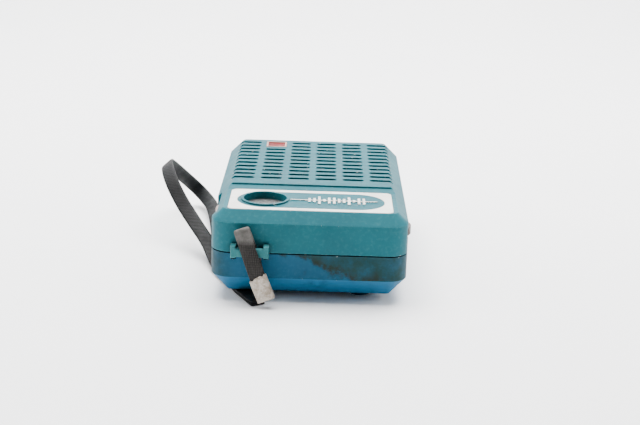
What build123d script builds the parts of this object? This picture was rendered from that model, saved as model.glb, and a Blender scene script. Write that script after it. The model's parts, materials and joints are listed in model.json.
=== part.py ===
"""A transistor pocket radio lying on its back with its grille up, in millimetres.

+Z points up out of the grille, +Y runs from the strap end to the speaker end and +X
is the volume side. The origin lies under the middle of the case, on the table.
"""

import os
from math import radians, sqrt, tan

from build123d import *

os.makedirs("parts", exist_ok=True)

# ---- driving dimensions: the case ------------------------------------------------
body_w = 75.0  # across the grille, X
body_l = 117.0  # strap end to speaker end, Y
body_h = 34.2  # back face to grille, Z
foot_h = 2.6  # rest feet under the back face
foot_r = 4.0
foot_x, foot_inset = 20.0, 15.0  # feet from the middle and from the ends
corner_r = 7.5  # upright corners of the case
wall = 2.2  # moulded wall of both halves
seam_from_back = 16.85  # back face to the seam
seam_gap = 0.5  # shadow groove along the seam
front_bevel = 5.7  # 45 degree bevel round the front
shoulder_r = 1.6  # rounding where that bevel meets the grille
rear_bevel_w, rear_bevel_h = 6.3, 7.0  # bevel round the back
lip_h = 2.0  # tongue of the rear half inside the front half
fit = 0.15  # clearance where parts slide together
pin_fit = 0.08  # clearance round screws and shafts
split_from_back = 12.4  # where the rear posts meet the front bosses
post_r, boss_r = 4.2, 2.8
case_screw_x, case_screw_from_near = 27.5, 40.5
case_screw_r, case_head_r, case_head_h = 1.3, 2.6, 1.6
case_screw_shank = 18.0
head_well = 5.5  # depth of the screw wells in the back

# ---- driving dimensions: the front face ----------------------------------------------
panel_drop = 1.5  # the control panel lies this far below the grille
step_h = 0.7  # upright part of the step down to it
step_from_near = 36.7
ramp_l = 4.3  # sloping band between the step and the white trim
trim_w, trim_l, trim_t, trim_r = 63.0, 27.6, 1.0, 2.5  # white trim plate
trim_from_near = 18.6  # strap end to the middle of the trim
trim_stand = 0.1  # trim above the panel
island_w, island_l = 57.0, 21.4  # stadium of the case that the trim surrounds
window_r = 8.4  # dial window
window_rim, window_rim_h = 0.9, 0.7  # raised ring round it
lens_depth, lens_t, lens_lap = 2.1, 0.7, 0.5  # clear disc below the panel's surface
slot_l, slot_w = 8.9, 2.9  # one grille slot
slot_pitch_x, slot_pitch_y = 11.12, 5.988
slot_columns, slot_rows = 6, 11
slot_from_near = 45.66  # strap end to the middle of the first row
slot_overrun = 0.8  # the outer slots run on over the shoulder
badge_column, badge_rows = 1, 2  # the badge takes the last rows of this column
badge_w, badge_l, badge_t = 8.8, 9.2, 1.2
badge_border, badge_sink, badge_stand = 0.7, 0.3, 0.2
emblem_x0, emblem_x1, emblem_line = -8.0, 25.7, 0.7
emblem_bars, emblem_bar_w, emblem_t = 12, 1.0, 0.35
emblem_bar_x0, emblem_bar_x1 = -0.6, 20.5

# ---- driving dimensions: wheels -------------------------------------------------------
dial_r, dial_t = 17.0, 3.4  # tuning wheel
dial_face_r, dial_face_h = 13.5, 1.4  # raised dial on top of it
dial_inset = 0.3  # rim inside the side of the case
dial_from_near = 21.5
dial_gap = 0.7  # dial face below the lens
dial_notches = 66
dial_window_l, dial_window_h, dial_window_sill = 26.5, 10.3, 20.0
dial_window_shift = 1.25  # the side window is nearer the speaker than the wheel
volume_r, volume_t = 9.5, 3.0
volume_proud = 1.3  # rim outside the side of the case
volume_from_near = 13.1
volume_notches = 36
volume_play = 0.4  # slot edge above and below the volume wheel
slot_side_l = 15.6
shaft_r, wheel_screw_r, wheel_screw_head_r, wheel_screw_head_h = 2.5, 1.0, 2.0, 0.8
notch_r, wheel_rim_w, wheel_hub_w = 0.35, 2.0, 1.5
shaft_seat = 3.0  # how far each shaft reaches below the board's underside

# ---- driving dimensions: inside -----------------------------------------------------------
board_t, board_side_gap, board_near_gap = 1.6, 1.8, 1.3
board_l = 40.0
board_from_back = 20.4  # back face to the board's component side
board_screw_r, board_screw_head_r, board_screw_head_h = 0.9, 1.9, 0.9
board_screw_bite = 4.0  # reach of the board screws into their bosses
board_boss_r = 2.3
volume_lift = 1.0  # volume wheel above the board
capacitor_w, capacitor_h = 17.0, 10.0
pot_r, pot_h = 5.4, 4.0
resistor_w, resistor_l = 2.4, 7.0
transistor_r, transistor_h = 2.4, 5.5
rod_r, rod_l, rod_from_near, rod_drop = 4.0, 50.0, 8.7, 0.8
coil_r = 4.6
cradle_l, cradle_t = 6.0, 2.5
cradle_starts = (4.0, 18.0)  # along the rod from its left end
coils_along = [(23.0, 17.0), (43.0, 5.0)]  # start and length of each winding
speaker_r, speaker_rim_t, speaker_wall = 25.0, 0.9, 0.8
speaker_row = 4  # the speaker's middle lies under this grille row
speaker_depth, magnet_r, magnet_h = 14.6, 11.0, 5.8
gasket_t, gasket_w = 0.5, 2.4
clip_w, clip_t, clip_reach, clip_tail = 2.8, 0.6, 7.6, 1.6
clip_screw_r, clip_screw_head_r, clip_screw_head_h = 0.75, 1.3, 0.8
tag_w, tag_l, tag_t = 4.8, 9.0, 1.2
battery_l, battery_w, battery_t = 46.0, 26.5, 17.5
stud_h, stud_gap, stud_r = 2.5, 12.7, 2.9
battery_x = -2.0
battery_from_far = 7.5
pad_t, snap_t, snap_gap = 1.0, 3.4, 0.4
lead_r = 0.55
rib_t, rib_h = 1.2, 7.0

# ---- driving dimensions: strap ------------------------------------------------------------
strap_w, strap_t = 6.0, 1.1
lug_x, lug_w, lug_h, lug_stand = -22.4, 14.4, 4.6, 4.5
lug_below_seam, lug_bar_up, lug_bar_h, lug_bar_t, lug_ear_t = 0.85, 0.45, 3.3, 1.8, 2.0
lug_plate_t, lug_plate_h = 1.4, 2.3
clamp_w, clamp_l, clamp_t, clamp_wall = 7.0, 9.6, 3.2, 0.4

# ---- places worked out from them ------------------------------------------------------------
near_y, far_y, side_x = -body_l / 2, body_l / 2, body_w / 2
back_z = foot_h
top_z = back_z + body_h
seam_z = back_z + seam_from_back
front_low = seam_z + seam_gap / 2
rear_high = seam_z - seam_gap / 2
panel_z = top_z - panel_drop
plateau_in = top_z - wall
panel_in = panel_z - wall
floor_z = back_z + wall
inner_w, inner_l, inner_r = body_w - 2 * wall, body_l - 2 * wall, corner_r - wall
skirt = wall / 2  # rim of the front half outside the tongue
step_y = near_y + step_from_near
trim_y = near_y + trim_from_near
trim_top = panel_z + trim_stand
trim_seat = trim_top - trim_t
window_x = -(island_w - island_l) / 2
lens_top = panel_z - lens_depth
dial_x = -side_x + dial_inset + dial_r
dial_y = near_y + dial_from_near
dial_high = lens_top - lens_t - dial_gap
dial_low = dial_high - dial_face_h - dial_t
board_z = back_z + board_from_back
board_top = board_z + board_t
board_w = inner_w - 2 * board_side_gap
board_y = near_y + wall + board_near_gap + board_l / 2
board_far = board_y + board_l / 2
volume_x = side_x + volume_proud - volume_r
volume_y = near_y + volume_from_near
volume_low = board_top + volume_lift
case_screws_at = [(side * case_screw_x, near_y + case_screw_from_near) for side in (-1, 1)]
board_screws_at = [(-14.0, board_far - 2.8), (20.0, board_far - 2.8), (10.0, board_far - 27.5)]
split_z = back_z + split_from_back
speaker_y = near_y + slot_from_near + speaker_row * slot_pitch_y
speaker_top = plateau_in - gasket_t
speaker_posts_at = [(sx * 2 * slot_pitch_x, sy * 3.5 * slot_pitch_y) for sx in (-1, 1) for sy in (-1, 1)]
speaker_post_r = (slot_pitch_y - slot_w) / 2 - 0.04
magnet_high = speaker_top - speaker_depth + magnet_h
battery_z = floor_z + pad_t
battery_y = far_y - battery_from_far - battery_w / 2
rod_y = near_y + rod_from_near
rod_z = board_z - rod_drop - rod_r
rod_x = -6.0


def keep(part, name):
    """Labels a finished piece and writes its file."""
    part.label = name
    export_step(part, f"parts/{name}.step")
    print(f"{name}: {part.volume:.1f} mm3")


def inner_legs(leg_w, leg_h):
    """Legs of the inside bevel that keeps the wall's thickness behind an outer bevel."""
    reach = 1 + wall * sqrt(1 / leg_w**2 + 1 / leg_h**2)
    return leg_w * (reach - wall / leg_h) - wall, leg_h * (reach - wall / leg_w) - wall


def slot_row(row):
    """Middle of a grille row along Y."""
    return near_y + slot_from_near + row * slot_pitch_y


def slot_column(column):
    """Middle of a grille column along X."""
    return (column - (slot_columns - 1) / 2) * slot_pitch_x


def column_cells(column):
    """Middles of one column's slots, without the cells that the badge takes."""
    rows = slot_rows - badge_rows if column == badge_column else slot_rows
    side = (column == slot_columns - 1) - (column == 0)
    return [(slot_column(column) + side * slot_overrun / 2, slot_row(row)) for row in range(rows)]


badge_x = slot_column(badge_column)
badge_y = slot_row(slot_rows - (badge_rows + 1) / 2)

# ---- front half of the case ------------------------------------------------------------------
face_profile = [
    (near_y - 1, panel_z),
    (step_y - ramp_l, panel_z),
    (step_y, top_z - step_h),
    (step_y, top_z + 1),
    (near_y - 1, top_z + 1),
]
inside_profile = [
    (near_y - 1, panel_in),
    (step_y - ramp_l, panel_in),
    (step_y + wall, plateau_in - step_h),
    (step_y + wall, top_z + 1),
    (near_y - 1, top_z + 1),
]

with BuildPart() as front_cavity:
    with BuildSketch(Plane.XY.offset(front_low - 1)):
        RectangleRounded(inner_w, inner_l, inner_r)
    extrude(amount=plateau_in - front_low + 1)
    chamfer(front_cavity.faces().sort_by(Axis.Z)[-1].edges(), inner_legs(front_bevel, front_bevel)[0])
    with BuildSketch(Plane.YZ):
        with BuildLine():
            Polyline(*inside_profile, close=True)
        make_face()
    extrude(amount=body_w, both=True, mode=Mode.SUBTRACT)

with BuildPart() as front_shell:
    with BuildSketch(Plane.XY.offset(front_low)):
        RectangleRounded(body_w, body_l, corner_r)
    extrude(amount=top_z - front_low)
    chamfer(front_shell.faces().sort_by(Axis.Z)[-1].edges(), front_bevel)
    fillet(front_shell.faces().sort_by(Axis.Z)[-1].edges(), shoulder_r)
    with BuildSketch(Plane.YZ):
        with BuildLine():
            Polyline(*face_profile, close=True)
        make_face()
    extrude(amount=body_w, both=True, mode=Mode.SUBTRACT)
    add(front_cavity.part, mode=Mode.SUBTRACT)
    # the rim at the seam is thinned for the rear half's tongue
    with BuildSketch(Plane.XY.offset(front_low - 1)):
        RectangleRounded(body_w - 2 * skirt, body_l - 2 * skirt, corner_r - skirt)
    extrude(amount=1 + lip_h + fit - seam_gap, mode=Mode.SUBTRACT)
    # seat of the white trim, which leaves the island standing
    with BuildSketch(Plane.XY.offset(trim_seat)):
        with Locations((0, trim_y)):
            RectangleRounded(trim_w + 2 * fit, trim_l + 2 * fit, trim_r + fit)
    extrude(amount=panel_drop, mode=Mode.SUBTRACT)
    with BuildSketch(Plane.XY.offset(trim_seat)):
        with Locations((0, trim_y)):
            SlotOverall(island_w, island_l)
    extrude(amount=trim_t)
    # dial window: ring on the island and a lens seat under it
    with BuildSketch(Plane.XY.offset(lens_top - lens_t)):
        with Locations((window_x, trim_y)):
            Circle(window_r + lens_lap + 1.2)
    extrude(amount=panel_z - lens_top)
    with BuildSketch(Plane.XY.offset(trim_top)):
        with Locations((window_x, trim_y)):
            Circle(window_r + window_rim)
    extrude(amount=window_rim_h)
    fillet(front_shell.faces().sort_by(Axis.Z)[-1].edges(), window_rim_h / 3)
    with BuildSketch(Plane.XY.offset(lens_top - lens_t)):
        with Locations((window_x, trim_y)):
            Circle(window_r)
    extrude(amount=top_z, mode=Mode.SUBTRACT)
    with BuildSketch(Plane.XY.offset(lens_top - lens_t)):
        with Locations((window_x, trim_y)):
            Circle(window_r + lens_lap)
    extrude(amount=lens_t, mode=Mode.SUBTRACT)
    # side window of the tuning wheel and side slot of the volume wheel
    with BuildSketch(Plane.YZ.offset(-side_x - 1)):
        with Locations((dial_y + dial_window_shift, back_z + dial_window_sill + dial_window_h / 2)):
            RectangleRounded(dial_window_l, dial_window_h, 0.8)
    extrude(amount=1 + wall + 3.4, mode=Mode.SUBTRACT)
    with BuildSketch(Plane.YZ.offset(side_x + 1)):
        with Locations((volume_y, volume_low + volume_t / 2)):
            RectangleRounded(slot_side_l, volume_t + 2 * volume_play, 0.6)
    extrude(amount=-(1 + wall + 1), mode=Mode.SUBTRACT)
    # grille
    for column in range(slot_columns):
        outer = column in (0, slot_columns - 1)
        with BuildSketch(Plane.XY.offset(top_z + 1)):
            with Locations(*column_cells(column)):
                SlotOverall(slot_l + (slot_overrun if outer else 0), slot_w)
        extrude(amount=-(1 + wall + 2.4), mode=Mode.SUBTRACT)
    # seat of the badge
    with BuildSketch(Plane.XY.offset(top_z + badge_stand - badge_t)):
        with Locations((badge_x, badge_y)):
            Rectangle(badge_w + fit, badge_l + fit)
    extrude(amount=badge_t, mode=Mode.SUBTRACT)
    # bosses for the case screws, the board and the speaker clips
    with BuildSketch(Plane.XY.offset(split_z)):
        with Locations(*case_screws_at):
            Circle(boss_r)
    extrude(amount=plateau_in + 0.5 - split_z)
    with BuildSketch(Plane.XY.offset(split_z)):
        with Locations(*case_screws_at):
            Circle(case_screw_r + pin_fit)
    extrude(amount=plateau_in - 4 - split_z, mode=Mode.SUBTRACT)
    with BuildSketch(Plane.XY.offset(board_top)):
        with Locations(*board_screws_at):
            Circle(board_boss_r)
    extrude(amount=panel_in + 0.5 - board_top)
    with BuildSketch(Plane.XY.offset(plateau_in - 3)):
        with Locations(*board_screws_at[:2]):
            Circle(board_boss_r)
    extrude(amount=3.5)
    with BuildSketch(Plane.XY.offset(board_top)):
        with Locations(*board_screws_at):
            Circle(board_screw_r + pin_fit)
    extrude(amount=5, mode=Mode.SUBTRACT)
    with BuildSketch(Plane.XY.offset(speaker_top - speaker_rim_t)):
        with Locations((0, speaker_y)):
            with Locations(*speaker_posts_at):
                Circle(speaker_post_r)
    extrude(amount=plateau_in + 0.5 - speaker_top + speaker_rim_t)
keep(front_shell.part, "front_shell")

# ---- rear half of the case -------------------------------------------------------------------
rear_leg_w, rear_leg_h = inner_legs(rear_bevel_w, rear_bevel_h)
lug_neck_low = rear_high - lug_plate_h
lug_ears_at = [(lug_x + side * (lug_w - lug_ear_t) / 2, near_y) for side in (-1, 1)]

with BuildPart() as rear_cavity:
    with BuildSketch(Plane.XY.offset(floor_z)):
        RectangleRounded(inner_w, inner_l, inner_r)
    extrude(amount=body_h)
    cavity_floor = rear_cavity.faces().sort_by(Axis.Z)[0]
    chamfer(cavity_floor.edges(), length=rear_leg_w, length2=rear_leg_h, reference=cavity_floor)

with BuildPart() as rear_shell:
    with BuildSketch(Plane.XY.offset(back_z)):
        RectangleRounded(body_w, body_l, corner_r)
    extrude(amount=rear_high - back_z)
    back_face = rear_shell.faces().sort_by(Axis.Z)[0]
    chamfer(back_face.edges(), length=rear_bevel_w, length2=rear_bevel_h, reference=back_face)
    with BuildSketch(Plane.XY.offset(rear_high)):
        RectangleRounded(body_w - 2 * (skirt + fit), body_l - 2 * (skirt + fit), corner_r - skirt - fit)
    extrude(amount=lip_h)
    add(rear_cavity.part, mode=Mode.SUBTRACT)
    # feet, screw posts and the rib beside the battery
    with BuildSketch(Plane.XY):
        with GridLocations(2 * foot_x, body_l - 2 * foot_inset, 2, 2):
            Circle(foot_r)
        Circle(foot_r)
    extrude(amount=foot_h + wall / 2)
    with BuildSketch(Plane.XY.offset(back_z + wall / 2)):
        with Locations(*case_screws_at):
            Circle(post_r)
    extrude(amount=split_z - back_z - wall / 2)
    with BuildSketch(Plane.XY.offset(back_z)):
        with Locations(*case_screws_at):
            Circle(case_head_r + fit)
    extrude(amount=head_well, mode=Mode.SUBTRACT)
    with BuildSketch(Plane.XY.offset(back_z)):
        with Locations(*case_screws_at):
            Circle(case_screw_r + pin_fit)
    extrude(amount=body_h, mode=Mode.SUBTRACT)
    with BuildSketch(Plane.XY.offset(floor_z - 0.5)):
        with Locations((0, battery_y - battery_w / 2 - fit - rib_t / 2)):
            Rectangle(battery_l - 6, rib_t)
    extrude(amount=rib_h + 0.5)
    # notches in the near edge for the ears of the strap lug
    with BuildSketch(Plane.XY.offset(lug_neck_low)):
        with Locations(*lug_ears_at):
            Rectangle(lug_ear_t, 4 * wall)
    extrude(amount=lug_plate_h + lip_h + 1, mode=Mode.SUBTRACT)
keep(rear_shell.part, "rear_shell")

with BuildPart() as case_screws:
    with BuildSketch(Plane.XY.offset(back_z + head_well - case_head_h)):
        with Locations(*case_screws_at):
            Circle(case_head_r)
    extrude(amount=case_head_h)
    with BuildSketch(Plane.XY.offset(back_z + head_well)):
        with Locations(*case_screws_at):
            Circle(case_screw_r)
    extrude(amount=case_screw_shank)
    with BuildSketch(Plane.XY.offset(back_z + head_well - case_head_h)):
        with Locations(*case_screws_at):
            Rectangle(2 * case_head_r, 0.7)
    extrude(amount=0.7, mode=Mode.SUBTRACT)
keep(case_screws.part, "case_screws")

with BuildPart() as battery_pad:
    with BuildSketch(Plane.XY.offset(floor_z)):
        with Locations((battery_x, battery_y)):
            Rectangle(battery_l - 8, battery_w - 6)
    extrude(amount=pad_t)
keep(battery_pad.part, "battery_pad")

# ---- trim, badge, emblem and lens --------------------------------------------------------------
with BuildPart() as trim_panel:
    with BuildSketch(Plane.XY.offset(trim_seat)):
        with Locations((0, trim_y)):
            RectangleRounded(trim_w, trim_l, trim_r)
            SlotOverall(island_w + 2 * fit, island_l + 2 * fit, mode=Mode.SUBTRACT)
    extrude(amount=trim_t)
keep(trim_panel.part, "trim_panel")

with BuildPart() as badge_frame:
    with BuildSketch(Plane.XY.offset(top_z + badge_stand - badge_t)):
        with Locations((badge_x, badge_y)):
            Rectangle(badge_w, badge_l)
    extrude(amount=badge_t)
    with BuildSketch(Plane.XY.offset(top_z + badge_stand - badge_sink - 0.5)):
        with Locations((badge_x, badge_y)):
            Rectangle(badge_w - 2 * badge_border, badge_l - 2 * badge_border)
    extrude(amount=2, mode=Mode.SUBTRACT)
keep(badge_frame.part, "badge_frame")

with BuildPart() as badge_plate:
    with BuildSketch(Plane.XY.offset(top_z + badge_stand - badge_sink - 0.5)):
        with Locations((badge_x, badge_y)):
            Rectangle(badge_w - 2 * badge_border - fit, badge_l - 2 * badge_border - fit)
    extrude(amount=0.5)
keep(badge_plate.part, "badge_plate")

# plain sound-wave bars, mirrored about a thin line
with BuildPart() as emblem:
    with BuildSketch(Plane.XY.offset(trim_top)):
        with Locations(((emblem_x0 + emblem_x1) / 2, trim_y)):
            Rectangle(emblem_x1 - emblem_x0, emblem_line)
        for bar in range(emblem_bars):
            bar_x = emblem_bar_x0 + bar * (emblem_bar_x1 - emblem_bar_x0) / (emblem_bars - 1)
            bar_h = 5.2 + 5.0 * (bar % 3) / 2 - 2.2 * (bar % 2)
            with Locations((bar_x, trim_y)):
                Rectangle(emblem_bar_w, bar_h)
    extrude(amount=emblem_t)
keep(emblem.part, "emblem")

with BuildPart() as dial_lens:
    with BuildSketch(Plane.XY.offset(lens_top - lens_t)):
        with Locations((window_x, trim_y)):
            Circle(window_r + lens_lap)
    extrude(amount=lens_t)
keep(dial_lens.part, "dial_lens")

# ---- strap lug ---------------------------------------------------------------------------------------
lug_back = near_y - fit
lug_front = near_y - lug_stand
lug_low = seam_z - lug_below_seam
ear_mid_y = (lug_back + lug_front) / 2

with BuildPart() as strap_lug:
    with BuildSketch(Plane.XY.offset(lug_low)):
        with Locations(*[(x, ear_mid_y) for x, y in lug_ears_at]):
            Rectangle(lug_ear_t, lug_back - lug_front)
    extrude(amount=lug_h)
    with BuildSketch(Plane.XY.offset(lug_low + lug_bar_up)):
        with Locations((lug_x, lug_front + lug_bar_t / 2)):
            Rectangle(lug_w, lug_bar_t)
    extrude(amount=lug_bar_h)
    fillet(strap_lug.faces().sort_by(Axis.Y)[0].edges(), 0.5)
    with BuildSketch(Plane.XY.offset(max(lug_low, lug_neck_low))):
        with Locations(*[(x, (lug_back + near_y + wall) / 2) for x, y in lug_ears_at]):
            Rectangle(lug_ear_t - 2 * fit, near_y + wall - lug_back)
    extrude(amount=rear_high - max(lug_low, lug_neck_low))
    with BuildSketch(Plane.XY.offset(lug_neck_low - 1)):
        with Locations((lug_x, near_y + wall + lug_plate_t / 2)):
            Rectangle(lug_w, lug_plate_t)
    extrude(amount=lug_plate_h + 1)
keep(strap_lug.part, "strap_lug")

# ---- wheels: each has its shaft and the screw that holds it ----------------------------------------------


def wheel(name, at, low, radius, thick, face_r, face_h, notches):
    """A thumbwheel with a notched rim, a hub round its shaft and a sunk screw seat."""
    high = low + thick + face_h
    with BuildPart() as turned:
        with BuildSketch(Plane.XY.offset(low)):
            with Locations(at):
                Circle(radius)
                with PolarLocations(radius, notches):
                    Circle(notch_r, mode=Mode.SUBTRACT)
        extrude(amount=thick)
        if face_h > 0:
            with BuildSketch(Plane.XY.offset(low + thick)):
                with Locations(at):
                    Circle(face_r)
            extrude(amount=face_h)
        with BuildSketch(Plane.XY.offset(low)):
            with Locations(at):
                Circle(radius - wheel_rim_w)
                Circle(shaft_r + wheel_hub_w, mode=Mode.SUBTRACT)
        extrude(amount=thick * 0.45, mode=Mode.SUBTRACT)
        with BuildSketch(Plane.XY.offset(low)):
            with Locations(at):
                Circle(shaft_r)
        extrude(amount=thick * 0.6, mode=Mode.SUBTRACT)
        with BuildSketch(Plane.XY.offset(low)):
            with Locations(at):
                Circle(wheel_screw_r)
        extrude(amount=thick + face_h, mode=Mode.SUBTRACT)
        with BuildSketch(Plane.XY.offset(high - wheel_screw_head_h)):
            with Locations(at):
                Circle(wheel_screw_head_r + 0.1)
        extrude(amount=2, mode=Mode.SUBTRACT)
    keep(turned.part, f"{name}_wheel")

    shaft_low = board_z - shaft_seat
    with BuildPart() as shaft:
        with BuildSketch(Plane.XY.offset(shaft_low)):
            with Locations(at):
                Circle(shaft_r)
        extrude(amount=low + thick * 0.6 - shaft_low)
        with BuildSketch(Plane.XY.offset(low - 3)):
            with Locations(at):
                Circle(wheel_screw_r)
        extrude(amount=thick + 4, mode=Mode.SUBTRACT)
    keep(shaft.part, f"{name}_shaft")

    with BuildPart() as screw:
        with BuildSketch(Plane.XY.offset(high - wheel_screw_head_h)):
            with Locations(at):
                Circle(wheel_screw_head_r)
        extrude(amount=wheel_screw_head_h - 0.15)
        with BuildSketch(Plane.XY.offset(low - 2.5)):
            with Locations(at):
                Circle(wheel_screw_r)
        extrude(amount=high - wheel_screw_head_h - low + 2.5)
        with BuildSketch(Plane.XY.offset(high - 0.5)):
            with Locations(at):
                Rectangle(2 * wheel_screw_head_r, 0.5)
        extrude(amount=1, mode=Mode.SUBTRACT)
    keep(screw.part, f"{name}_screw")


wheel("tuning", (dial_x, dial_y), dial_low, dial_r, dial_t, dial_face_r, dial_face_h, dial_notches)
wheel("volume", (volume_x, volume_y), volume_low, volume_r, volume_t, volume_r, 0, volume_notches)

# ---- circuit board and what it carries, which hangs below it ---------------------------------------------
notch_inner = case_screw_x - post_r - 0.6
notch_near = case_screws_at[0][1] - post_r - 0.6

with BuildPart() as circuit_board:
    with BuildSketch(Plane.XY.offset(board_z)):
        with Locations((0, board_y)):
            Rectangle(board_w, board_l)
        with Locations(*[(side * (notch_inner + board_w), (notch_near + board_l)) for side in (-1, 1)]):
            Rectangle(2 * board_w, 2 * board_l, mode=Mode.SUBTRACT)
        with Locations((dial_x, dial_y), (volume_x, volume_y)):
            Circle(shaft_r + 0.5, mode=Mode.SUBTRACT)
        with Locations(*board_screws_at):
            Circle(board_screw_r + pin_fit, mode=Mode.SUBTRACT)
    extrude(amount=board_t)
keep(circuit_board.part, "circuit_board")

with BuildPart() as board_screws:
    with BuildSketch(Plane.XY.offset(board_z - board_screw_head_h)):
        with Locations(*board_screws_at):
            Circle(board_screw_head_r)
    extrude(amount=board_screw_head_h)
    with BuildSketch(Plane.XY.offset(board_z)):
        with Locations(*board_screws_at):
            Circle(board_screw_r)
    extrude(amount=board_t + board_screw_bite)
keep(board_screws.part, "board_screws")

with BuildPart() as tuning_capacitor:
    with BuildSketch(Plane.XY.offset(board_z - capacitor_h)):
        with Locations((dial_x, dial_y)):
            Rectangle(capacitor_w, capacitor_w)
    extrude(amount=capacitor_h)
    with BuildSketch(Plane.XY.offset(board_z - shaft_seat - 2 * fit)):
        with Locations((dial_x, dial_y)):
            Circle(shaft_r + pin_fit)
    extrude(amount=4, mode=Mode.SUBTRACT)
keep(tuning_capacitor.part, "tuning_capacitor")

with BuildPart() as volume_pot:
    with BuildSketch(Plane.XY.offset(board_z - pot_h)):
        with Locations((volume_x, volume_y)):
            Circle(pot_r)
    extrude(amount=pot_h)
    with BuildSketch(Plane.XY.offset(board_z - shaft_seat - 2 * fit)):
        with Locations((volume_x, volume_y)):
            Circle(shaft_r + pin_fit)
    extrude(amount=4, mode=Mode.SUBTRACT)
keep(volume_pot.part, "volume_pot")


def block(name, x, y, size_x, size_y, size_z):
    """A boxed component on the underside of the board."""
    with BuildPart() as piece:
        with BuildSketch(Plane.XY.offset(board_z - size_z)):
            with Locations((x, y)):
                Rectangle(size_x, size_y)
        extrude(amount=size_z)
        fillet(piece.edges().filter_by(Axis.Z), min(size_x, size_y) / 12)
    keep(piece.part, name)


def can(name, x, y, radius, size_z):
    """A round component on the underside of the board."""
    with BuildPart() as piece:
        with BuildSketch(Plane.XY.offset(board_z - size_z)):
            with Locations((x, y)):
                Circle(radius)
        extrude(amount=size_z)
        fillet(piece.edges().sort_by(Axis.Z)[0], radius / 8)
    keep(piece.part, name)


if_row_y = board_far - 20.0
for number in range(3):
    block(f"if_coil_{number + 1}", -6.0 + 10 * number, if_row_y, 8, 8, 11)
block("driver_transformer", 26.0, board_far - 18.2, 12, 10, 10)
block("output_transformer", 8.0, board_far - 7.6, 14, 10, 12)
block("ceramic_capacitor", 30.0, board_far - 10.4, 4.4, 1.6, 5)
can("electrolytic_1", -5.0, board_far - 9.2, 3.0, 11)
can("electrolytic_2", 20.0, board_far - 9.7, 2.6, 10)
transistors_at = [(-13, -9.7), (-20, -8.2), (-28.5, -10.6), (-7, -27.6), (1, -27.6)]
for number, (x, along) in enumerate(transistors_at):
    can(f"transistor_{number + 1}", x, board_far + along, transistor_r, transistor_h)
resistors_at = [(-31.2, -18.2, 0), (-31.2, -26.2, 0), (-4.2, -14.1, 90), (6.4, -14.4, 90)]
for number, (x, along, turn) in enumerate(resistors_at):
    with BuildPart() as resistor:
        with BuildSketch(Plane.XY.offset(board_z - resistor_w)):
            with Locations(Location((x, board_far + along), turn)):
                Rectangle(resistor_w, resistor_l)
        extrude(amount=resistor_w)
        fillet(resistor.edges().filter_by(Axis.Z, reverse=True).group_by(Axis.Z)[0], 0.5)
    keep(resistor.part, f"resistor_{number + 1}")

# ferrite aerial across the strap end, in two cradles that stand off the board
rod_plane = Plane(origin=(rod_x - rod_l / 2, rod_y, rod_z), x_dir=(0, 1, 0), z_dir=(1, 0, 0))
with BuildPart() as ferrite_rod:
    with BuildSketch(rod_plane):
        Circle(rod_r)
    extrude(amount=rod_l)
    fillet(ferrite_rod.edges(), 0.5)
keep(ferrite_rod.part, "ferrite_rod")

for number, (start, length) in enumerate(coils_along):
    with BuildPart() as coil:
        with BuildSketch(rod_plane.offset(start)):
            Circle(coil_r)
            Circle(rod_r, mode=Mode.SUBTRACT)
        extrude(amount=length)
    keep(coil.part, f"aerial_coil_{number + 1}")

cradle_h = rod_r + rod_drop
with BuildPart() as rod_cradles:
    for start in cradle_starts:
        with BuildSketch(rod_plane.offset(start)):
            with Locations((0, cradle_h / 2)):
                Rectangle(cradle_l, cradle_h)
            Circle(rod_r, mode=Mode.SUBTRACT)
        extrude(amount=cradle_t)
keep(rod_cradles.part, "rod_cradles")

# ---- speaker ----------------------------------------------------------------------------------------------
speaker_plane = Plane(origin=(0, speaker_y, 0), x_dir=(1, 0, 0), z_dir=(0, -1, 0))
speaker_axis = Axis((0, speaker_y, 0), (0, 0, 1))
rim_low = speaker_top - speaker_rim_t
basket_r = speaker_r - 1.6
throat_r = magnet_r + 0.8

with BuildPart() as speaker_gasket:
    with BuildSketch(Plane.XY.offset(speaker_top)):
        with Locations((0, speaker_y)):
            Circle(speaker_r)
            Circle(speaker_r - gasket_w, mode=Mode.SUBTRACT)
    extrude(amount=gasket_t)
keep(speaker_gasket.part, "speaker_gasket")

with BuildPart() as speaker_basket:
    with BuildSketch(speaker_plane):
        with BuildLine():
            Polyline(
                (speaker_r, speaker_top),
                (speaker_r, rim_low),
                (basket_r, rim_low),
                (throat_r, magnet_high),
                (4.2, magnet_high),
                (4.2, magnet_high + speaker_wall),
                (throat_r - 0.4, magnet_high + speaker_wall),
                (basket_r - 0.9, speaker_top),
                close=True,
            )
        make_face()
    revolve(axis=speaker_axis)
keep(speaker_basket.part, "speaker_basket")

with BuildPart() as speaker_magnet:
    with BuildSketch(Plane.XY.offset(magnet_high - magnet_h)):
        with Locations((0, speaker_y)):
            Circle(magnet_r)
    extrude(amount=magnet_h)
    fillet(speaker_magnet.edges().sort_by(Axis.Z)[0], 0.8)
    with BuildSketch(Plane.XY.offset(magnet_high)):
        with Locations((0, speaker_y)):
            Circle(2.6)
    extrude(amount=1.6)
keep(speaker_magnet.part, "speaker_magnet")

with BuildPart() as speaker_cone:
    with BuildSketch(speaker_plane):
        with BuildLine():
            Polyline(
                (basket_r - 0.9, speaker_top),
                (basket_r - 2.1, speaker_top - 0.5),
                (5.2, magnet_high + 2.6),
                (0, magnet_high + 3.9),
                (0, magnet_high + 4.3),
                (5.0, magnet_high + 3.2),
                (basket_r - 2.6, speaker_top),
                close=True,
            )
        make_face()
    revolve(axis=speaker_axis)
keep(speaker_cone.part, "speaker_cone")

with BuildPart() as speaker_tags:
    with BuildSketch(Plane.XY.offset(magnet_high - tag_t)):
        with Locations((magnet_r + tag_w / 2, speaker_y)):
            Rectangle(tag_w, tag_l)
            with Locations((-magnet_r - tag_w / 2, 0)):
                Circle(magnet_r, mode=Mode.SUBTRACT)
    extrude(amount=tag_t)
keep(speaker_tags.part, "speaker_tags")

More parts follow.
